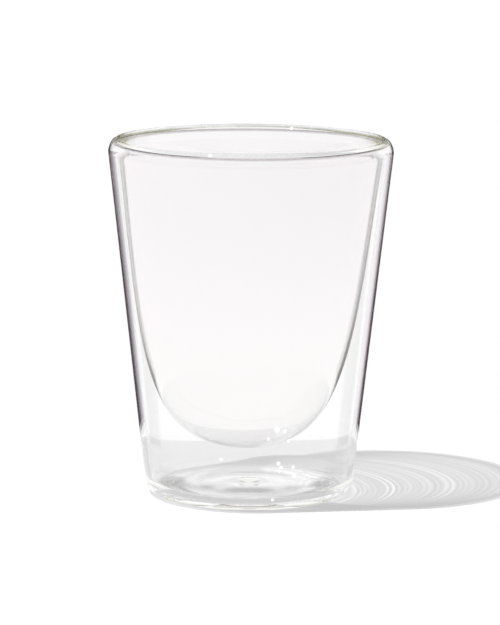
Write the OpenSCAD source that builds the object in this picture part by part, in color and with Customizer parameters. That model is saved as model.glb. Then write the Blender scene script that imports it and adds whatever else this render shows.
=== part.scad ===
// Double walled glass cup: an inner bowl hung inside a tapered outer wall, joined only at the rim.
// Every piece is turned, the bowl about an axis that leans a little. The origin is the middle of the foot.
// The space between the two walls holds still air, and the base has a vent closed with a glass bead.

/* [Overall] */
// Height from the table to the top of the rim
cup_height = 111; // [90:1:150]
// Outside diameter where the outer wall ends and the rim begins
rim_diameter = 88; // [76:1:110]
// Outside diameter of the wall's taper carried down to the table
foot_diameter = 64.2; // [54:0.1:84]

/* [Outer wall] */
// Glass thickness at the top of the outer wall
outer_wall_top = 2.2; // [1.5:0.1:3]
// Glass thickness of the outer wall at the foot
outer_wall_low = 1.7; // [1:0.1:3]
// Radius of the rounded heel, outside
heel_radius = 4.5; // [2:0.5:8]
// Radius of the rounded corner between wall and floor, inside
heel_inner_radius = 4; // [1:0.5:7]
// Glass thickness of the base
base_thickness = 2.6; // [1.5:0.1:4]
// Width of the flat ring that stands on the table
foot_ring_width = 7.5; // [3:0.5:12]
// Height that the middle of the base is pushed up
punt_rise = 1.2; // [0.8:0.1:3]

/* [Rim] */
// Height of the rounded rim above the ends of the two walls
rim_rise = 4.4; // [3.4:0.1:7]
// Solid glass from the top of the rim down to the tip of the air gap
rim_solid_depth = 1.7; // [1:0.1:2.8]
// Air gap between the two walls where they meet the rim
rim_gap = 1; // [0.8:0.1:2]
// Roundness of the rim's shoulders, as a share of its height
rim_shoulder_share = 0.35; // [0.2:0.01:0.6]

/* [Inner bowl] */
// Glass thickness at the top of the bowl
bowl_wall_top = 1.6; // [1:0.1:3]
// Glass thickness at the bottom of the bowl
bowl_wall_low = 0.8; // [0.6:0.1:2.5]
// Height of the bowl's lowest point above the table
bowl_clearance = 14.7; // [8:0.1:40]
// Angle by which the bowl's side leans in more than the outer wall does
bowl_lean = 0.7; // [0.4:0.1:6]
// Angle by which the bowl hangs out of true, its bottom towards -X. 0 hangs it upright
bowl_tilt = 1.1; // [0:0.1:1.2]
// Fullness of the bowl's bottom, as a share of its top radius
bowl_bottom_share = 0.78; // [0.4:0.01:0.8]
// Fullness of the bowl's side, as a share of its depth
bowl_side_share = 0.68; // [0.4:0.01:0.8]

/* [Vent] */
// Diameter of the vent in the middle of the base
vent_diameter = 4; // [2:0.1:6]
// Width of the bead's edge where it lies on the floor round the vent
bead_overlap = 1.5; // [0.5:0.1:3]
// Height of the bead above the floor
bead_height = 1.2; // [0.5:0.1:3]
// Drop of the bead's tip below the vent
bead_drop = 0.5; // [0.2:0.1:1]
// Flat glass left round the bead
bead_margin = 2; // [0.5:0.1:5]

/* [Hidden] */
$fn = 96;
// Straight steps along one curve of an outline
CURVE_STEPS = 40;
CORNER_STEPS = 12;
// Handle length that rounds a spline like a quarter of an ellipse
ROUND_SHARE = 0.5523;
GLASS_COLOUR = [0.86, 0.88, 0.89, 0.35];
BEAD_COLOUR = [0.80, 0.83, 0.84, 0.5];

// Height of the level where both walls end and the rim begins
wall_top = cup_height - rim_rise;

// Outer wall: radii at the rim and at the table, outside and inside
rim_radius = rim_diameter / 2;
foot_radius = foot_diameter / 2;
rim_inner_radius = rim_radius - outer_wall_top;
foot_inner_radius = foot_radius - outer_wall_low;
outer_slope = (rim_radius - foot_radius) / wall_top;
inner_slope = (rim_inner_radius - foot_inner_radius) / wall_top;
outer_taper = atan(outer_slope);
inner_taper = atan(inner_slope);

// Heel: centres of the two rounded corners, each touching its wall and its side of the base
heel_x = corner_x(foot_radius, outer_slope, heel_radius, heel_radius);
heel_inner_z = base_thickness + heel_inner_radius;
heel_inner_x = corner_x(foot_inner_radius, inner_slope, heel_inner_z, heel_inner_radius);

// Base: the pushed-up middle, from its flat top to the inner edge of the foot ring
vent_radius = vent_diameter / 2;
bead_radius = vent_radius + bead_overlap;
punt_flat_radius = bead_radius + bead_margin;
punt_radius = heel_x - foot_ring_width;

// Bowl: radii where it meets the rim, and the length and lean of its side's handle
bowl_radius = rim_inner_radius - rim_gap;
bowl_inner_radius = bowl_radius - bowl_wall_top;
bowl_taper = outer_taper + bowl_lean;
side_handle = bowl_side_share * (wall_top - bowl_clearance);
bowl_inner_slope = tan(bowl_taper) - (bowl_wall_top - bowl_wall_low) / side_handle;

// Tilt: spare length that the level cut takes off the bowl, and the shift that keeps its mouth in the middle
tilt_spare = rim_rise / 2;
tilt_shift = bowl_radius * sin(bowl_tilt) * tan(bowl_taper);

// Rim: where its crest lies, and the rounded tip of the air gap under it
crest_radius = (rim_radius + bowl_inner_radius) / 2;
gap_middle_radius = (rim_inner_radius + bowl_radius) / 2;
gap_tip_rise = rim_rise - rim_solid_depth;
gap_tip_height = min(rim_gap / 2, gap_tip_rise / 2);

// X of the centre of a corner of radius r at height z that touches a wall of this slope
function corner_x(wall_at_table, slope, z, r) =
    wall_at_table + slope * z - r * sqrt(1 + slope * slope);

// Points along an arc, from one angle to another
function arc(centre, r, from, to, steps) =
    [for (i = [0 : steps]) centre + r * [cos(from + (to - from) * i / steps),
                                         sin(from + (to - from) * i / steps)]];

// Points along a spline with two handles
function spline(a, b, c, d, steps) =
    [for (i = [0 : steps]) let (t = i / steps, u = 1 - t)
        u * u * u * a + 3 * u * u * t * b + 3 * u * t * t * c + t * t * t * d];

// Points of a list in the other order
function backwards(points) = [for (i = [len(points) - 1 : -1 : 0]) points[i]];

// Height of the pushed-up middle at a radius: level, then an S-shaped slope down to the ring
function punt_z(r) = r <= punt_flat_radius ? punt_rise
    : punt_rise * (1 + cos(180 * (r - punt_flat_radius) / (punt_radius - punt_flat_radius))) / 2;

// One face of the base, from the vent outwards, raised by z
function punt_face(z) = [
    [vent_radius, punt_rise + z],
    for (i = [0 : CORNER_STEPS])
        let (r = punt_flat_radius + (punt_radius - punt_flat_radius) * i / CORNER_STEPS)
            [r, punt_z(r) + z]];

// One face of the bowl, from its lowest point up to the rim, drawn in by a wall at the top and below
function bowl_face(top_wall, low_wall) =
    spline([0, bowl_clearance + low_wall],
           [bowl_bottom_share * bowl_radius - low_wall, bowl_clearance + low_wall],
           [bowl_radius - side_handle * tan(bowl_taper) - low_wall, wall_top - side_handle],
           [bowl_radius - top_wall, wall_top],
           CURVE_STEPS);

// Outer wall: one blown shell with a straight taper, a rounded heel and a pushed-up base
module outer_wall() {
    outside = concat(punt_face(0), arc([heel_x, heel_radius], heel_radius, -90, -outer_taper, CORNER_STEPS));
    inside = concat(punt_face(base_thickness),
                    arc([heel_inner_x, heel_inner_z], heel_inner_radius, -90, -inner_taper, CORNER_STEPS));
    ends = [[rim_radius, wall_top], [rim_inner_radius, wall_top]];
    color(GLASS_COLOUR)
        rotate_extrude()
            polygon(concat(outside, ends, backwards(inside)));
}

// Inner bowl: a bullet-shaped vessel whose wall grows thinner towards the bottom.
// It is tilted about the level where the rim begins, then cut off there
module inner_bowl() {
    outside_end = [bowl_radius + tilt_spare * tan(bowl_taper), wall_top + tilt_spare];
    inside_end = [bowl_inner_radius + tilt_spare * bowl_inner_slope, wall_top + tilt_spare];
    outside = concat(bowl_face(0, 0), [outside_end]);
    inside = concat(bowl_face(bowl_wall_top, bowl_wall_low), [inside_end]);
    color(GLASS_COLOUR)
        intersection() {
            translate([-tilt_shift, 0, wall_top])
                rotate([0, bowl_tilt, 0])
                    translate([0, 0, -wall_top])
                        rotate_extrude()
                            polygon(concat(outside, backwards(inside)));
            cylinder(h = wall_top, r = rim_radius);
        }
}

// Rim: the rounded ring that closes the gap, running smoothly into both walls
module rim_weld() {
    crest = [crest_radius, cup_height];
    half_width = rim_radius - crest_radius;
    lift = rim_shoulder_share * rim_rise;
    outer_half = spline([rim_radius, wall_top],
                        [rim_radius + lift * outer_slope, wall_top + lift],
                        crest + [ROUND_SHARE * half_width, 0],
                        crest,
                        CURVE_STEPS / 2);
    inner_half = spline(crest,
                        crest - [ROUND_SHARE * half_width, 0],
                        [bowl_inner_radius + lift * bowl_inner_slope, wall_top + lift],
                        [bowl_inner_radius, wall_top],
                        CURVE_STEPS / 2);
    gap_tip = [for (i = [0 : CORNER_STEPS]) let (a = 180 - 180 * i / CORNER_STEPS)
        [gap_middle_radius + rim_gap / 2 * cos(a), wall_top + gap_tip_rise - gap_tip_height * (1 - sin(a))]];
    gap_ends = [[bowl_radius, wall_top], [rim_inner_radius, wall_top]];
    color(GLASS_COLOUR)
        rotate_extrude()
            polygon(concat(outer_half, inner_half, [gap_ends[0]], gap_tip, [gap_ends[1]]));
}

// Vent bead: the drop of glass that closes the vent, lying on the floor and rounded both ways
module vent_bead() {
    floor_z = punt_rise + base_thickness;
    over = [for (i = [0 : CORNER_STEPS]) let (a = 90 * i / CORNER_STEPS)
        [bead_radius * cos(a), floor_z + bead_height * sin(a)]];
    under = [for (i = [0 : CORNER_STEPS]) let (a = 90 - 90 * i / CORNER_STEPS)
        [vent_radius * cos(a), punt_rise - bead_drop * sin(a)]];
    color(BEAD_COLOUR)
        rotate_extrude()
            polygon(concat(over, under, [[vent_radius, floor_z]]));
}

outer_wall();
inner_bowl();
rim_weld();
vent_bead();
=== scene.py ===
"""Double walled glass cup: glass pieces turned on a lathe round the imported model, on a pale table."""
import math

import bpy
from mathutils import Matrix, Vector


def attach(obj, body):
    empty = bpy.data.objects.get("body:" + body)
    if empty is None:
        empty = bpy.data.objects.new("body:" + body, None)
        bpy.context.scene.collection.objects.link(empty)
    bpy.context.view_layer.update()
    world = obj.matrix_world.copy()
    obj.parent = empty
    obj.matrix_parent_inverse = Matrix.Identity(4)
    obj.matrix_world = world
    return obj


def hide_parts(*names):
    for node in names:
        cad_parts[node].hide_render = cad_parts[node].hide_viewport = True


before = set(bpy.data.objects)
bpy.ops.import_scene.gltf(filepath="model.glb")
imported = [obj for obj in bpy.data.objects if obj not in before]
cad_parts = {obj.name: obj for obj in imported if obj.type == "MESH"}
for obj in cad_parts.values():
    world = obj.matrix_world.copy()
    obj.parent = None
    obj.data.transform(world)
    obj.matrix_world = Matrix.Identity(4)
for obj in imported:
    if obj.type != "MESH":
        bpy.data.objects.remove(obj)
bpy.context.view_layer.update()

# Sizes of the cup in metres, as the model has them
CUP_HEIGHT = 0.111
RIM_RADIUS = 0.044
FOOT_RADIUS = 0.0321
OUTER_WALL_TOP = 0.0022
OUTER_WALL_LOW = 0.0017
HEEL_RADIUS = 0.0045
HEEL_INNER_RADIUS = 0.004
BASE_THICKNESS = 0.0026
FOOT_RING_WIDTH = 0.0075
PUNT_RISE = 0.0012
RIM_RISE = 0.0044
RIM_SOLID_DEPTH = 0.0017
RIM_GAP = 0.001
RIM_SHOULDER_SHARE = 0.35
BOWL_WALL_TOP = 0.0016
BOWL_WALL_LOW = 0.0008
BOWL_CLEARANCE = 0.0147
BOWL_LEAN = math.radians(0.7)
BOWL_TILT = math.radians(1.1)
BOWL_BOTTOM_SHARE = 0.78
BOWL_SIDE_SHARE = 0.68
VENT_RADIUS = 0.002
BEAD_OVERLAP = 0.0015
BEAD_HEIGHT = 0.0012
BEAD_DROP = 0.0005
BEAD_MARGIN = 0.002

# Levels and radii that follow from the sizes
WALL_TOP = CUP_HEIGHT - RIM_RISE
RIM_INNER = RIM_RADIUS - OUTER_WALL_TOP
FOOT_INNER = FOOT_RADIUS - OUTER_WALL_LOW
OUTER_SLOPE = (RIM_RADIUS - FOOT_RADIUS) / WALL_TOP
INNER_SLOPE = (RIM_INNER - FOOT_INNER) / WALL_TOP
BOWL_RADIUS = RIM_INNER - RIM_GAP
BOWL_INNER = BOWL_RADIUS - BOWL_WALL_TOP
BOWL_SLOPE = math.tan(math.atan(OUTER_SLOPE) + BOWL_LEAN)
SIDE_HANDLE = BOWL_SIDE_SHARE * (WALL_TOP - BOWL_CLEARANCE)
BOWL_INNER_SLOPE = BOWL_SLOPE - (BOWL_WALL_TOP - BOWL_WALL_LOW) / SIDE_HANDLE
TILT_SPARE = RIM_RISE / 2
TILT_SHIFT = BOWL_RADIUS * math.sin(BOWL_TILT) * BOWL_SLOPE
SEAM_RADIUS = (RIM_INNER + BOWL_RADIUS) / 2
SEAM_LEVEL = CUP_HEIGHT - RIM_SOLID_DEPTH - RIM_GAP / 2
BEAD_RADIUS = VENT_RADIUS + BEAD_OVERLAP
PUNT_FLAT = BEAD_RADIUS + BEAD_MARGIN
FLOOR_LEVEL = PUNT_RISE + BASE_THICKNESS

# Fineness of the lathe work
LATHE_STEPS = 240
WALL_STEPS = 24
CURVE_STEPS = 48
CORNER_STEPS = 14
MERGE = 1e-7
SHARP_ANGLE = math.radians(35)
# Handle length that rounds a spline like a quarter of an ellipse
ROUND_SHARE = 0.5523

# How near the rim's level a fused face lies, and the height of a face's normal by which it counts as
# level, if above the first, or as upright, if below the second
JOINT_REACH = 10 * MERGE
LEVEL_NORMAL = 0.9
UPRIGHT_NORMAL = 0.1


def corner_x(at_table, slope, z, r):
    """Radius of the centre of a rounded corner at this height that touches a sloping wall."""
    return at_table + slope * z - r * math.sqrt(1 + slope * slope)


HEEL_X = corner_x(FOOT_RADIUS, OUTER_SLOPE, HEEL_RADIUS, HEEL_RADIUS)
HEEL_INNER_Z = BASE_THICKNESS + HEEL_INNER_RADIUS
HEEL_INNER_X = corner_x(FOOT_INNER, INNER_SLOPE, HEEL_INNER_Z, HEEL_INNER_RADIUS)
PUNT_RADIUS = HEEL_X - FOOT_RING_WIDTH


def arc(x, z, r, start, end, steps):
    """Points along an arc, from one angle to another."""
    angles = [start + (end - start) * i / steps for i in range(steps + 1)]
    return [(x + r * math.cos(a), z + r * math.sin(a)) for a in angles]


def spline(a, b, c, d, steps):
    """Points along a spline from a to d, with the handles b and c."""
    points = []
    for i in range(steps + 1):
        t = i / steps
        u = 1 - t
        parts = (u * u * u, 3 * u * u * t, 3 * u * t * t, t * t * t)
        points.append(tuple(sum(w * p[k] for w, p in zip(parts, (a, b, c, d))) for k in (0, 1)))
    return points


def line(a, b, steps):
    """Points between a and b, without the two ends."""
    return [tuple(a[k] + (b[k] - a[k]) * i / steps for k in (0, 1)) for i in range(1, steps)]


def punt_face(z, extra=()):
    """One face of the pushed-up base, from the vent outwards, raised by z, with extra radii if given."""
    points = [(VENT_RADIUS, PUNT_RISE + z)] + [(r, PUNT_RISE + z) for r in extra]
    for i in range(CORNER_STEPS + 1):
        share = i / CORNER_STEPS
        r = PUNT_FLAT + (PUNT_RADIUS - PUNT_FLAT) * share
        points.append((r, PUNT_RISE * (1 + math.cos(math.pi * share)) / 2 + z))
    return points


def bowl_face(top_wall, low_wall):
    """One face of the bowl, from its lowest point up to the rim, drawn in by a wall."""
    low = BOWL_CLEARANCE + low_wall
    return spline(
        (0, low),
        (BOWL_BOTTOM_SHARE * BOWL_RADIUS - low_wall, low),
        (BOWL_RADIUS - SIDE_HANDLE * BOWL_SLOPE - low_wall, WALL_TOP - SIDE_HANDLE),
        (BOWL_RADIUS - top_wall, WALL_TOP),
        CURVE_STEPS,
    )


def outer_wall_outline():
    """The outer wall, out from the vent and up the outside, then down the inside."""
    heel = arc(HEEL_X, HEEL_RADIUS, HEEL_RADIUS, -math.pi / 2, -math.atan(OUTER_SLOPE), CORNER_STEPS)
    inner_heel = arc(
        HEEL_INNER_X, HEEL_INNER_Z, HEEL_INNER_RADIUS, -math.pi / 2, -math.atan(INNER_SLOPE), CORNER_STEPS
    )
    outside = punt_face(0) + heel
    inside = punt_face(BASE_THICKNESS, extra=(BEAD_RADIUS,)) + inner_heel
    top_out, top_in = (RIM_RADIUS, WALL_TOP), (RIM_INNER, WALL_TOP)
    outside += line(outside[-1], top_out, WALL_STEPS) + [top_out]
    inside += line(inside[-1], top_in, WALL_STEPS) + [top_in]
    return outside + inside[::-1]


def inner_bowl_outline():
    """The bowl turned upright, with a little glass to spare above the level where the rim begins."""
    top = WALL_TOP + TILT_SPARE
    outside = bowl_face(0, 0) + [(BOWL_RADIUS + TILT_SPARE * BOWL_SLOPE, top)]
    inside = bowl_face(BOWL_WALL_TOP, BOWL_WALL_LOW) + [(BOWL_INNER + TILT_SPARE * BOWL_INNER_SLOPE, top)]
    return outside + inside[::-1]


def rim_weld_outline():
    """The rounded rim, with the rounded tip of the air gap under its crest."""
    crest_x = (RIM_RADIUS + BOWL_INNER) / 2
    handle = ROUND_SHARE * (RIM_RADIUS - crest_x)
    lift = RIM_SHOULDER_SHARE * RIM_RISE
    crest = (crest_x, CUP_HEIGHT)
    outer = spline(
        (RIM_RADIUS, WALL_TOP),
        (RIM_RADIUS + lift * OUTER_SLOPE, WALL_TOP + lift),
        (crest_x + handle, CUP_HEIGHT),
        crest,
        CURVE_STEPS // 2,
    )
    inner = spline(
        crest,
        (crest_x - handle, CUP_HEIGHT),
        (BOWL_INNER + lift * BOWL_INNER_SLOPE, WALL_TOP + lift),
        (BOWL_INNER, WALL_TOP),
        CURVE_STEPS // 2,
    )
    tip = arc(SEAM_RADIUS, SEAM_LEVEL, RIM_GAP / 2, math.pi, 0, CORNER_STEPS)
    return outer + inner[1:] + [(BOWL_RADIUS, WALL_TOP)] + tip + [(RIM_INNER, WALL_TOP)]


def vent_bead_outline():
    """The bead, rounded over the floor and under the vent."""
    quarter = [math.pi / 2 * i / CORNER_STEPS for i in range(CORNER_STEPS + 1)]
    over = [(BEAD_RADIUS * math.cos(a), FLOOR_LEVEL + BEAD_HEIGHT * math.sin(a)) for a in quarter]
    under = [(VENT_RADIUS * math.cos(a), PUNT_RISE - BEAD_DROP * math.sin(a)) for a in quarter[::-1]]
    return over + under + [(VENT_RADIUS, FLOOR_LEVEL)]


def lathe(name, outline):
    """Turns a closed outline of (radius, height) points about Z into a closed glass piece."""
    bpy.ops.object.select_all(action="DESELECT")
    bpy.ops.mesh.primitive_circle_add(vertices=len(outline), radius=RIM_RADIUS, fill_type="NOTHING")
    piece = bpy.context.object
    piece.name = name
    for vertex, (r, z) in zip(piece.data.vertices, outline):
        vertex.co = (r, 0, z)
    bpy.ops.object.mode_set(mode="EDIT")
    bpy.ops.mesh.select_all(action="DESELECT")
    bpy.ops.object.mode_set(mode="OBJECT")
    # An edge along the axis has nothing to turn, so it goes
    on_axis = {i for i, (r, z) in enumerate(outline) if r < MERGE}
    for edge in piece.data.edges:
        edge.select = set(edge.vertices) <= on_axis
    if len(on_axis) > 1:
        bpy.ops.object.mode_set(mode="EDIT")
        bpy.ops.mesh.select_mode(type="EDGE")
        bpy.ops.mesh.delete(type="EDGE_FACE")
    bpy.ops.object.mode_set(mode="EDIT")
    bpy.ops.mesh.select_all(action="SELECT")
    bpy.ops.mesh.spin(steps=LATHE_STEPS, angle=math.tau, center=(0, 0, 0), axis=(0, 0, 1))
    bpy.ops.mesh.select_all(action="SELECT")
    bpy.ops.mesh.remove_doubles(threshold=MERGE)
    bpy.ops.mesh.normals_make_consistent(inside=False)
    bpy.ops.object.mode_set(mode="OBJECT")
    bpy.ops.object.shade_smooth_by_angle(angle=SHARP_ANGLE)
    return piece


def tilt_bowl(piece):
    """Tilts the bowl about the level where the rim begins and cuts it off level there."""
    bpy.ops.object.mode_set(mode="EDIT")
    bpy.ops.mesh.select_all(action="SELECT")
    pivot = (0, 0, WALL_TOP)
    bpy.ops.transform.rotate(value=-BOWL_TILT, orient_axis="Y", orient_type="GLOBAL", center_override=pivot)
    bpy.ops.transform.translate(value=(-TILT_SHIFT, 0, 0))
    bpy.ops.mesh.bisect(plane_co=pivot, plane_no=(0, 0, 1), clear_outer=True, threshold=MERGE)
    bpy.ops.mesh.bridge_edge_loops()
    bpy.ops.mesh.select_all(action="SELECT")
    bpy.ops.mesh.normals_make_consistent(inside=False)
    bpy.ops.object.mode_set(mode="OBJECT")
    bpy.ops.object.shade_smooth_by_angle(angle=SHARP_ANGLE)
    return piece


class Val:
    """A shader socket with plain arithmetic."""

    def __init__(self, tree, socket):
        self.tree, self.socket = tree, socket

    def maths(self, operation, other=None, flip=False):
        node = self.tree.nodes.new("ShaderNodeMath")
        node.operation = operation
        pair = (other, self) if flip else (self, other)
        for slot, value in zip(node.inputs, pair):
            if isinstance(value, Val):
                self.tree.links.new(value.socket, slot)
            elif value is not None:
                slot.default_value = value
        return Val(self.tree, node.outputs[0])

    def __add__(self, other):
        return self.maths("ADD", other)

    def __sub__(self, other):
        return self.maths("SUBTRACT", other)

    def __rsub__(self, other):
        return self.maths("SUBTRACT", other, flip=True)

    def __mul__(self, other):
        return self.maths("MULTIPLY", other)

    def __pow__(self, other):
        return self.maths("POWER", other)

    def __gt__(self, other):
        return self.maths("GREATER_THAN", other)

    def __abs__(self):
        return self.maths("ABSOLUTE")

    __radd__ = __add__
    __rmul__ = __mul__


class Shader:
    """The node tree of a material or world, filled one node at a time."""

    def __init__(self, owner):
        owner.use_nodes = True
        self.tree = owner.node_tree
        self.tree.nodes.clear()

    def node(self, kind, settings=None, output=0, **values):
        """Adds a node. A value's name is its socket's, with _ for a space, or i and the socket's number."""
        made = self.tree.nodes.new("ShaderNode" + kind)
        for key, value in (settings or {}).items():
            setattr(made, key, value)
        for key, value in values.items():
            slot = made.inputs[int(key[1:]) if key[1:].isdigit() else key.replace("_", " ")]
            if isinstance(value, Val):
                self.tree.links.new(value.socket, slot)
            else:
                slot.default_value = value
        return Val(self.tree, made.outputs[output]) if made.outputs else None

    def where(self):
        """The point's own place on the object."""
        return self.node("TexCoord", output="Object")

    def place(self):
        """The x, y and z of the point's own place."""
        where = self.where()
        return [self.node("SeparateXYZ", output=axis, Vector=where) for axis in "XYZ"]

    def from_axis(self):
        """The point's distance from the cup's axis."""
        x, y = self.place()[:2]
        return (x * x + y * y) ** 0.5

    def smooth(self, value, none, full):
        """0 at none, 1 at full, with a soft step between. Either may be the larger."""
        settings = {"interpolation_type": "SMOOTHSTEP"}
        return self.node("MapRange", settings, Value=value, From_Min=none, From_Max=full)

    def blend(self, share, first, second):
        """The first colour at a share of 0, the second at 1."""
        return self.node("Mix", {"data_type": "RGBA"}, output=2, i0=share, i6=first, i7=second)

    def mix(self, share, first, second):
        """The first shader at a share of 0, the second at 1."""
        return self.node("MixShader", i0=share, i1=first, i2=second)

    def through(self, painted_shade):
        """Light goes straight on through this tint."""
        return self.node("BsdfTransparent", Color=painted_shade)

    def facing(self):
        """0 where the surface is seen head on, 1 where it is seen at a grazing angle."""
        return self.node("LayerWeight", output="Facing", Blend=0.5)

    def light_path(self, output):
        return self.node("LightPath", output=output)

    def turned(self, times=1):
        """1 for light that glass has turned back at least so many times."""
        return self.light_path("Glossy Depth") > times - 0.5

    def passed(self, times=1):
        """1 for light that has gone through at least so many glass faces."""
        return self.light_path("Transmission Depth") > times - 0.5

    def passed_only(self, fewest, most):
        """1 for light that has gone through no fewer and no more glass faces than these."""
        return self.passed(fewest) * (1.0 - self.passed(most + 1))


def colour(red, green, blue):
    """A screen colour, 0 to 255, as the linear colour that the sockets take."""
    shares = [v / 255 for v in (red, green, blue)]
    return tuple(s / 12.92 if s < 0.04045 else ((s + 0.055) / 1.055) ** 2.4 for s in shares) + (1,)


def grey(share):
    return (share, share, share, 1)


def on_front(x, z):
    """The point of the outer wall's front that lies this far to the side and this high."""
    radius = FOOT_RADIUS + OUTER_SLOPE * z
    return (x, -math.sqrt(radius * radius - x * x), z)


WHITE = CLEAR = grey(1)
BLACK = grey(0)
GLASS_IOR = 1.47
# Light turned back this often is trapped in the glass
TRAPPED_TURNS = 9
# Share of light that glass turns back head on, and the power by which that grows towards grazing
HEAD_ON_SHARE = 0.04
GRAZING_POWER = 5

# Tints of the glass. The bowl and the rim take painted shade, greyer towards the top. A pair gives where a
# tint has faded out and where it is full. The left side takes a share of the top shade, the right side all
# of it
BOWL_TOP_SHADE = (0.955, 0.938, 0.945, 1)
BOWL_LOW_SHADE = (0.99, 0.984, 0.982, 1)
RIM_TOP_SHADE = (0.97, 0.96, 0.967, 1)
SEAM_TINT = (0.62, 0.58, 0.6, 1)
SHOULDER_DARK_REFLECTION = (0.035, 0.026, 0.03, 1)
SHADE_HEIGHTS = (0.03, 0.1)
SHADE_SIDES = (-0.03, 0.04)
LEFT_SHADE_SHARE = 0.7
SEAM_REACH = (0.0008, 0.0005)
SEAM_BOTTOM = (SEAM_LEVEL - 0.0004, SEAM_LEVEL)
SEAM_TOP = (CUP_HEIGHT - 0.0008, CUP_HEIGHT - 0.0012)
# Where the shoulders' painted dark reflection lies: how far out, how grazing the view, and how high
SHOULDER_SIDES = (0.0422, 0.0432)
SHOULDER_GRAZING = (0.45, 0.75)
SHOULDER_HEIGHTS = (WALL_TOP, WALL_TOP + 0.0002)

# Tints of trapped light on the cup's far side, above the base: the glass's green over a long way, and
# painted shade, darker in the middle
TRAPPED_MIDDLE_GREEN_AND_SHADE = (0.86, 0.86, 0.79, 1)
TRAPPED_SIDE_GREEN_AND_SHADE = (0.975, 0.975, 0.95, 1)
TRAPPED_SIDES = (0.012, 0.034)
TRAPPED_DEPTHS = (0, 0.01)
TRAPPED_HEIGHTS = (0.015, 0.03)

# Painted glints, white spots that glow on the outer wall's front: x, height and half width of each glint
FRONT_PAINTED_GLINTS = (
    (-0.0085, 0.0168, 0.0006), (0.0089, 0.0156, 0.0008), (0.0097, 0.0143, 0.0007), (0.0091, 0.0131, 0.0005),
    (0.0134, 0.0142, 0.0007), (0.0138, 0.0113, 0.0007), (0.0072, 0.0041, 0.0006), (0.0084, 0.0263, 0.0010),
    (0.0108, 0.0257, 0.0007), (0.0119, 0.0226, 0.0006), (0.0058, 0.0235, 0.0006),
)
# The place of each painted glint and its half width
WALL_PAINTED_GLINTS = [(on_front(x, z), half_width) for x, z, half_width in FRONT_PAINTED_GLINTS]
# Two painted glints on the rim: the place of each and its half width
RIM_PAINTED_GLINTS = (((-0.0121, -0.0411, 0.1104), 0.0008), ((0.0129, 0.0382, 0.1100), 0.0008))
# How much of a painted glint's half width is full white, and how brightly the painted glints glow
GLINT_CORE_SHARE = 0.3
GLINT_GLOW_STRENGTH = 0.6

# Shares of the lamp's light that go on through each glass, and how bright the painted caustics are where
# glass gathers it
OUTER_LAMP_SHARE = 0.7
BOWL_LAMP_SHARE = 0.9
RIM_LAMP_SHARE = 0.62
BASE_LAMP_SHARE = 0.67
WALL_GATHERED = 1.3
BASE_GATHERED = 1.75
BASE_MIDDLE_GATHERED = 1.2
# Where the base begins, downwards and inwards, and where its middle does, whose painted caustics are weaker
BASE_HEIGHTS = (0.0055, 0.0045)
BASE_RADII = (0.029, 0.027)
BASE_MIDDLE_RADII = (0.022, 0.01)

# Heights, half widths and strengths of the painted caustics: rings of brighter lamp light that the wall
# passes on
PAINTED_CAUSTIC_RINGS = (
    (0.0070, 0.0010, 0.9), (0.0165, 0.0007, 0.4), (0.0268, 0.0014, 0.9), (0.0340, 0.0006, 0.5),
    (0.0410, 0.0010, 0.6), (0.0500, 0.0016, 0.6), (0.0640, 0.0020, 1.0), (0.0760, 0.0014, 0.4),
    (0.0950, 0.0016, 0.5),
)
# Fall of the rings towards the right and the front
RING_FALL_RIGHT = 0.03
RING_FALL_FRONT = 0.02

# Fine painted ripples of lamp light between the rings: how close they lie, where the noise starts to show
# and where it is full
RIPPLES_PER_METRE = 500
RIPPLE_START = 0.4
RIPPLE_FULL = 0.8
RIPPLE_STRENGTH = 0.6
NOISE_DETAIL = 3.0
# In the base the ripples run round the axis, wander with broad waves, and show at a weaker noise
BASE_RADIAL_SHARE = 0.8
BASE_WAVES_PER_METRE = 90.0
BASE_WAVE_HEIGHT = 0.014
BASE_START_DROP = 0.05
BASE_FULL_DROP = 0.2


def height_shade(s, low_shade, top_shade):
    """Painted shade: a tint that greys towards the top, more so on the right."""
    x, _, z = s.place()
    towards_right = LEFT_SHADE_SHARE + (1 - LEFT_SHADE_SHARE) * s.smooth(x, *SHADE_SIDES)
    return s.blend(s.smooth(z, *SHADE_HEIGHTS) * towards_right, low_shade, top_shade)


def bowl_shade(s):
    return height_shade(s, BOWL_LOW_SHADE, BOWL_TOP_SHADE)


def rim_shade(s):
    """The rim's painted shade, greyer towards the top, darker along the seam over the air gap, and a
    painted dark reflection at the two shoulders where they are seen at a grazing angle.
    """
    x, _, z = s.place()
    seam = s.smooth(abs(s.from_axis() - SEAM_RADIUS), *SEAM_REACH)
    seam = seam * s.smooth(z, *SEAM_BOTTOM) * s.smooth(z, *SEAM_TOP)
    # Painted dark reflection: the shoulders, seen at a grazing angle on the first face met, turn nearly
    # black
    shoulder_dark_reflection = s.smooth(abs(x), *SHOULDER_SIDES) * s.smooth(s.facing(), *SHOULDER_GRAZING)
    shoulder_dark_reflection = shoulder_dark_reflection * s.smooth(z, *SHOULDER_HEIGHTS) * (1.0 - s.passed())
    painted_shade = s.blend(seam, height_shade(s, CLEAR, RIM_TOP_SHADE), SEAM_TINT)
    return s.blend(shoulder_dark_reflection, painted_shade, SHOULDER_DARK_REFLECTION)


def painted_glints(s, glints):
    """Painted glints: white at each glint, black elsewhere."""
    glint = 0.0
    for centre, half_width in glints:
        distance = s.node("VectorMath", {"operation": "DISTANCE"}, output="Value", i0=s.where(), i1=centre)
        glint = glint + s.smooth(distance, half_width, half_width * GLINT_CORE_SHARE)
    return s.blend(glint, BLACK, WHITE)


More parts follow.
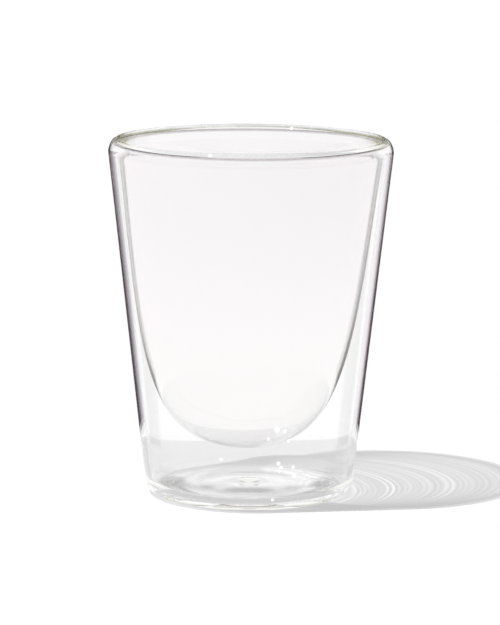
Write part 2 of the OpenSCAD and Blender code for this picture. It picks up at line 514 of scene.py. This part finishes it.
def lamp_light(s, lamp_share, painted_rings):
    """What goes on through the glass of the lamp's light, brighter in painted caustics: rings, ripples and
    the base.
    """
    x, y, z = s.place()
    from_axis = s.from_axis()
    base = s.smooth(z, *BASE_HEIGHTS) * s.smooth(from_axis, *BASE_RADII)
    waves = s.node("TexNoise", Vector=s.where(), Scale=BASE_WAVES_PER_METRE, Detail=NOISE_DETAIL)
    level = z + x * RING_FALL_RIGHT - y * RING_FALL_FRONT
    level = level + base * (from_axis * BASE_RADIAL_SHARE + waves * BASE_WAVE_HEIGHT)
    along = level * RIPPLES_PER_METRE
    noise = s.node("TexNoise", {"noise_dimensions": "1D"}, W=along, Scale=1.0, Detail=NOISE_DETAIL)
    ripple = s.smooth(noise, RIPPLE_START - base * BASE_START_DROP, RIPPLE_FULL - base * BASE_FULL_DROP)
    ripple = ripple * (RIPPLE_STRENGTH + base * (1 - RIPPLE_STRENGTH))
    for height, half_width, strength in painted_rings:
        ripple = ripple + s.smooth(abs(level - height), half_width, 0) * strength
    lit = s.mix(base, s.through(grey(lamp_share)), s.through(grey(BASE_LAMP_SHARE)))
    middle = s.smooth(from_axis, *BASE_MIDDLE_RADII)
    in_base = s.mix(middle, s.through(grey(BASE_GATHERED)), s.through(grey(BASE_MIDDLE_GATHERED)))
    gathered = s.mix(base, s.through(grey(WALL_GATHERED)), in_base)
    grazed = HEAD_ON_SHARE + (1 - HEAD_ON_SHARE) * s.facing() ** GRAZING_POWER
    return s.mix(grazed, s.mix(ripple, lit, gathered), s.through(BLACK))


def trapped_light(s):
    """Trapped light goes straight on. On the cup's far side it takes the green of a long way through glass
    and painted shade, darker towards the middle.
    """
    x, y, z = s.place()
    far_side = s.smooth(y, *TRAPPED_DEPTHS) * s.smooth(z, *TRAPPED_HEIGHTS)
    green_and_shade = s.mix(
        s.smooth(abs(x), *TRAPPED_SIDES), s.through(TRAPPED_MIDDLE_GREEN_AND_SHADE), s.through(TRAPPED_SIDE_GREEN_AND_SHADE)
    )
    return s.mix(far_side, s.through(CLEAR), green_and_shade)


def glass(name, lamp_share, painted_shade=None, painted_rings=(), glints=()):
    """Clear glass, or glass with the painted shade that a function gives, with painted caustic rings and
    painted glints where given. Lamp light goes straight through it.
    """
    mat = bpy.data.materials.new(name)
    s = Shader(mat)
    clear = s.node(
        "BsdfPrincipled", Base_Color=painted_shade(s) if painted_shade else CLEAR, Roughness=0.0, IOR=GLASS_IOR,
        Transmission_Weight=1.0, Emission_Color=painted_glints(s, glints) if glints else BLACK,
        Emission_Strength=GLINT_GLOW_STRENGTH,
    )
    seen = s.mix(s.turned(TRAPPED_TURNS), clear, trapped_light(s))
    passing = lamp_light(s, lamp_share, painted_rings)
    s.node("OutputMaterial", Surface=s.mix(s.light_path("Is Shadow Ray"), seen, passing))
    mat.cycles.emission_sampling = "NONE"
    return mat


def fused_joint():
    """Where two pieces are fused the glass runs on, so nothing shows there."""
    mat = bpy.data.materials.new("fused_joint")
    s = Shader(mat)
    s.node("OutputMaterial", Surface=s.through(CLEAR))
    return mat


OUTER_GLASS = glass("outer_glass", OUTER_LAMP_SHARE, painted_rings=PAINTED_CAUSTIC_RINGS, glints=WALL_PAINTED_GLINTS)
BOWL_GLASS = glass("bowl_glass", BOWL_LAMP_SHARE, painted_shade=bowl_shade)
RIM_GLASS = glass("rim_glass", RIM_LAMP_SHARE, painted_shade=rim_shade, glints=RIM_PAINTED_GLINTS)
FUSED = fused_joint()


def dress(piece, node, mat, is_joint):
    """Gives a piece its glass, clears its fused faces, and puts it in place of its CAD node."""
    piece.data.materials.append(mat)
    piece.data.materials.append(FUSED)
    for face in piece.data.polygons:
        face.material_index = 1 if is_joint(face.center, face.normal) else 0
    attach(piece, "root")
    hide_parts(node)


def radius_of(p):
    return math.hypot(p.x, p.y)


def at_wall_end(p, n):
    """True where a wall and the rim are fused."""
    return abs(p.z - WALL_TOP) < JOINT_REACH and abs(n.z) > LEVEL_NORMAL


def under_bead(p, n):
    """True where the bead is fused to the floor round the vent and to the vent's side."""
    level_there = abs(p.z - FLOOR_LEVEL) < MERGE and abs(n.z) > LEVEL_NORMAL
    on_floor = level_there and radius_of(p) < BEAD_RADIUS
    in_vent = abs(n.z) < UPRIGHT_NORMAL and radius_of(p) < VENT_RADIUS + MERGE
    return on_floor or in_vent


def at_wall_end_or_bead(p, n):
    """True where the outer wall is fused to the rim or the bead."""
    return at_wall_end(p, n) or under_bead(p, n)


wall = lathe("outer_wall_glass", outer_wall_outline())
dress(wall, "outer_wall", OUTER_GLASS, at_wall_end_or_bead)
bowl = tilt_bowl(lathe("inner_bowl_glass", inner_bowl_outline()))
dress(bowl, "inner_bowl", BOWL_GLASS, at_wall_end)
rim = lathe("rim_weld_glass", rim_weld_outline())
dress(rim, "rim_weld", RIM_GLASS, at_wall_end)
bead = lathe("vent_bead_glass", vent_bead_outline())
dress(bead, "vent_bead", OUTER_GLASS, under_bead)

# The table: its far edge as the glass shows it, and the grey that only light through the glass sees
TABLE_SIZE = 8
TABLE_DROP = 0.0001
TABLE_EDGE = 0.08
EDGE_SLANT = -0.06
EDGE_SOFTNESS = 0.001
GREY_RADIUS = 0.115
GREY_FADE = 0.003
LAMP_GREY = grey(0.52)
SKY_GREY = (0.6, 0.6, 0.605, 1)
TABLE_GLOW = grey(0.56)

# The ring of studio cards, which reaches below the table, and where the table lets light down to it
CARD_RADIUS = 0.165
CARD_LOW = -0.015
CARD_HIGH = 0.5
CARD_MIDDLE = (CARD_HIGH + CARD_LOW) / 2
CARD_RING_STEPS = 128
TABLE_OPEN_RADIUS = 0.09

# How many glass faces light has passed when it meets a card: off the first wall, off the bowl's front,
# off the bowl's wall, on the high card, and where the dark cards turn paler
FIRST_WALL_MOST = 3
BOWL_FRONT_FACES = (4, 5)
BOWL_WALL_FACES = (6, 7)
HIGH_CARD_FACES = (2, 3)
DEEP_FACES = 3
# Angles of the cards in radians, from straight ahead or behind: where each has ended and where it is full
FIRST_WALL_DARK = (0.66, 0.60)
FIRST_WALL_PALE = (0.84, 0.78)
BOWL_FRONT_DARK = (0.80, 0.70)
BOWL_WALL_DARK = (0.94, 0.88)
WINDOW_SIDES = (0.19, 0.14)
FOOT_SIDES = (0.5, 0.35)
HIGH_CARD_DARK = (0.1, 0.7)
# Heights on the cards, and the sides and the front of the ring
WINDOW_TOP = (0.09, 0.078)
HIGH_CARD_BOTTOM = (0.1, 0.13)
CARD_RIGHT = (-0.01, 0.01)
CARD_FRONT = (0, -0.01)
# Lengths of the light's last way, from the glass to a card, and what the front and the foot take off it
NEAR_WAY = (0.139, 0.142)
FAR_WAY = (0.186, 0.182)
FIRST_WALL_WAY = (0.1465, 0.148)
FRONT_WAY = 0.01
FOOT_WAY = 0.007
DARK_CARD = colour(80, 68, 73)
DEEP_DARK_CARD = colour(96, 91, 88)
HIGH_CARD = colour(160, 152, 155)
LEFT_PALE_CARD = colour(184, 180, 186)
RIGHT_PALE_CARD = colour(238, 233, 238)

# The sun lamp's strength, its spread in radians and the way its light goes
LAMP_STRENGTH = 1.6
LAMP_SPREAD = 0.01
LAMP_WAY = (45.5, 19.5, -112)

# The camera stands in front of the cup, turned down and rolled a little. Its lens is as long as so
# many pixels of the picture's height, and its sensor is in millimetres
CAMERA_DISTANCE = 1.0
CAMERA_HEIGHT = 0.2228
CAMERA_PITCH = math.radians(9.44)
CAMERA_ROLL = math.radians(0.37)
FOCAL_PIXELS = 3261
PICTURE_PIXELS = 625
SENSOR = 36

# How often light may pass or be turned
MOST_PASSES = 32
MOST_TURNS = 16


def table():
    """A white table. Seen through the glass it is a little greyer round the cup, up to its far edge."""
    bpy.ops.mesh.primitive_plane_add(size=TABLE_SIZE, location=(0, 0, -TABLE_DROP))
    top = bpy.context.object
    top.name = "table"
    mat = bpy.data.materials.new("white_table")
    s = Shader(mat)
    x, y = s.place()[:2]
    from_cup = s.from_axis()
    near = s.smooth(y + x * EDGE_SLANT, TABLE_EDGE + EDGE_SOFTNESS, TABLE_EDGE - EDGE_SOFTNESS)
    near = near * s.smooth(from_cup, GREY_RADIUS + GREY_FADE, GREY_RADIUS)
    through = s.passed()
    lit = s.mix(near, s.node("BsdfDiffuse", Color=BLACK), s.node("BsdfDiffuse", Color=LAMP_GREY))
    lit = s.mix(through, s.node("BsdfDiffuse", Color=WHITE), lit)
    sky = s.blend(through, TABLE_GLOW, s.blend(near, WHITE, SKY_GREY))
    glow = s.node("Emission", Color=sky, Strength=1.0)
    white = s.node("AddShader", i0=lit, i1=glow)
    open_to_cards = (from_cup > TABLE_OPEN_RADIUS) * s.turned()
    s.node("OutputMaterial", Surface=s.mix(open_to_cards, white, s.through(CLEAR)))
    top.data.materials.append(mat)


def card_material():
    """The cards. All light but what the glass has turned back goes through them."""
    mat = bpy.data.materials.new("studio_cards")
    s = Shader(mat)
    x, y, z = s.place()
    height = z + CARD_MIDDLE
    angle = abs(x.maths("ARCTAN2", abs(y)))
    way = s.light_path("Ray Length")
    past_foot = way - s.smooth(angle, *FOOT_SIDES) * FOOT_WAY
    first_wall = (1.0 - s.passed(FIRST_WALL_MOST + 1)) * s.smooth(past_foot, *FIRST_WALL_WAY)
    bowl_front = s.passed_only(*BOWL_FRONT_FACES) * (1.0 - s.turned(2))
    bowl_wall = s.passed_only(*BOWL_WALL_FACES)
    dark_card = first_wall * s.smooth(angle, *FIRST_WALL_DARK)
    dark_card = dark_card + bowl_front * s.smooth(angle, *BOWL_FRONT_DARK)
    dark_card = dark_card + bowl_wall * s.smooth(angle, *BOWL_WALL_DARK)
    pale_card = first_wall * s.smooth(angle, *FIRST_WALL_PALE)
    high_card = s.passed_only(*HIGH_CARD_FACES) * s.smooth(height, *HIGH_CARD_BOTTOM)
    window = s.smooth(angle, *WINDOW_SIDES) * s.smooth(height, *WINDOW_TOP)
    dark = s.blend(s.passed(DEEP_FACES), DARK_CARD, DEEP_DARK_CARD)
    pale = s.blend(s.smooth(x, *CARD_RIGHT), LEFT_PALE_CARD, RIGHT_PALE_CARD)
    high = s.blend(s.smooth(angle, *HIGH_CARD_DARK), HIGH_CARD, dark)
    cards = s.blend(high_card, s.blend(dark_card, pale, dark), high)
    reach = s.smooth(way - s.smooth(y, *CARD_FRONT) * FRONT_WAY, *NEAR_WAY) * s.smooth(way, *FAR_WAY)
    shown = dark_card.maths("MAXIMUM", pale_card) * (1.0 - window) * reach
    met = s.turned() * (1.0 - s.turned(TRAPPED_TURNS)) * shown.maths("MAXIMUM", high_card)
    glow = s.node("Emission", Color=cards, Strength=1.0)
    s.node("OutputMaterial", Surface=s.mix(met, s.through(CLEAR), glow))
    return mat


def card_ring():
    """Studio cards round the table. Only light turned back by the glass meets them."""
    bpy.ops.mesh.primitive_cylinder_add(
        vertices=CARD_RING_STEPS, radius=CARD_RADIUS, depth=CARD_HIGH - CARD_LOW, end_fill_type="NOTHING",
        location=(0, 0, CARD_MIDDLE),
    )
    ring = bpy.context.object
    ring.name = "card_ring"
    ring.data.materials.append(card_material())


def studio_sky():
    """A white studio. The table has its own glow, so diffuse light takes none from here."""
    sky = bpy.data.worlds.new("white_studio")
    bpy.context.scene.world = sky
    s = Shader(sky)
    strength = 1.0 - s.light_path("Is Diffuse Ray")
    s.node("OutputWorld", Surface=s.node("Background", Color=WHITE, Strength=strength))


def key_light():
    """The sun lamp, high up on the left and a little to the front."""
    data = bpy.data.lights.new("key", "SUN")
    data.energy = LAMP_STRENGTH
    data.angle = LAMP_SPREAD
    lamp = bpy.data.objects.new("key", data)
    bpy.context.scene.collection.objects.link(lamp)
    lamp.rotation_mode = "QUATERNION"
    lamp.rotation_quaternion = Vector(LAMP_WAY).to_track_quat("-Z", "Y")


def camera():
    """The camera, in front of the cup and looking down a little."""
    data = bpy.data.cameras.new("camera")
    data.lens = FOCAL_PIXELS * SENSOR / PICTURE_PIXELS
    data.sensor_width = SENSOR
    cam = bpy.data.objects.new("camera", data)
    bpy.context.scene.collection.objects.link(cam)
    forward = Vector((0, math.cos(CAMERA_PITCH), -math.sin(CAMERA_PITCH)))
    right = Vector((1, 0, 0))
    up = right.cross(forward)
    rolled_right = math.cos(CAMERA_ROLL) * right + math.sin(CAMERA_ROLL) * up
    rolled_up = math.cos(CAMERA_ROLL) * up - math.sin(CAMERA_ROLL) * right
    turn = Matrix((rolled_right, rolled_up, -forward)).transposed().to_4x4()
    cam.matrix_world = Matrix.Translation((0, -CAMERA_DISTANCE, CAMERA_HEIGHT)) @ turn
    bpy.context.scene.camera = cam


table()
card_ring()
studio_sky()
key_light()
camera()
scene = bpy.context.scene
scene.view_settings.view_transform = "Standard"
scene.cycles.max_bounces = MOST_PASSES
scene.cycles.transmission_bounces = MOST_PASSES
scene.cycles.glossy_bounces = MOST_TURNS
scene.cycles.transparent_max_bounces = MOST_PASSES
scene.cycles.caustics_reflective = False
scene.cycles.caustics_refractive = False
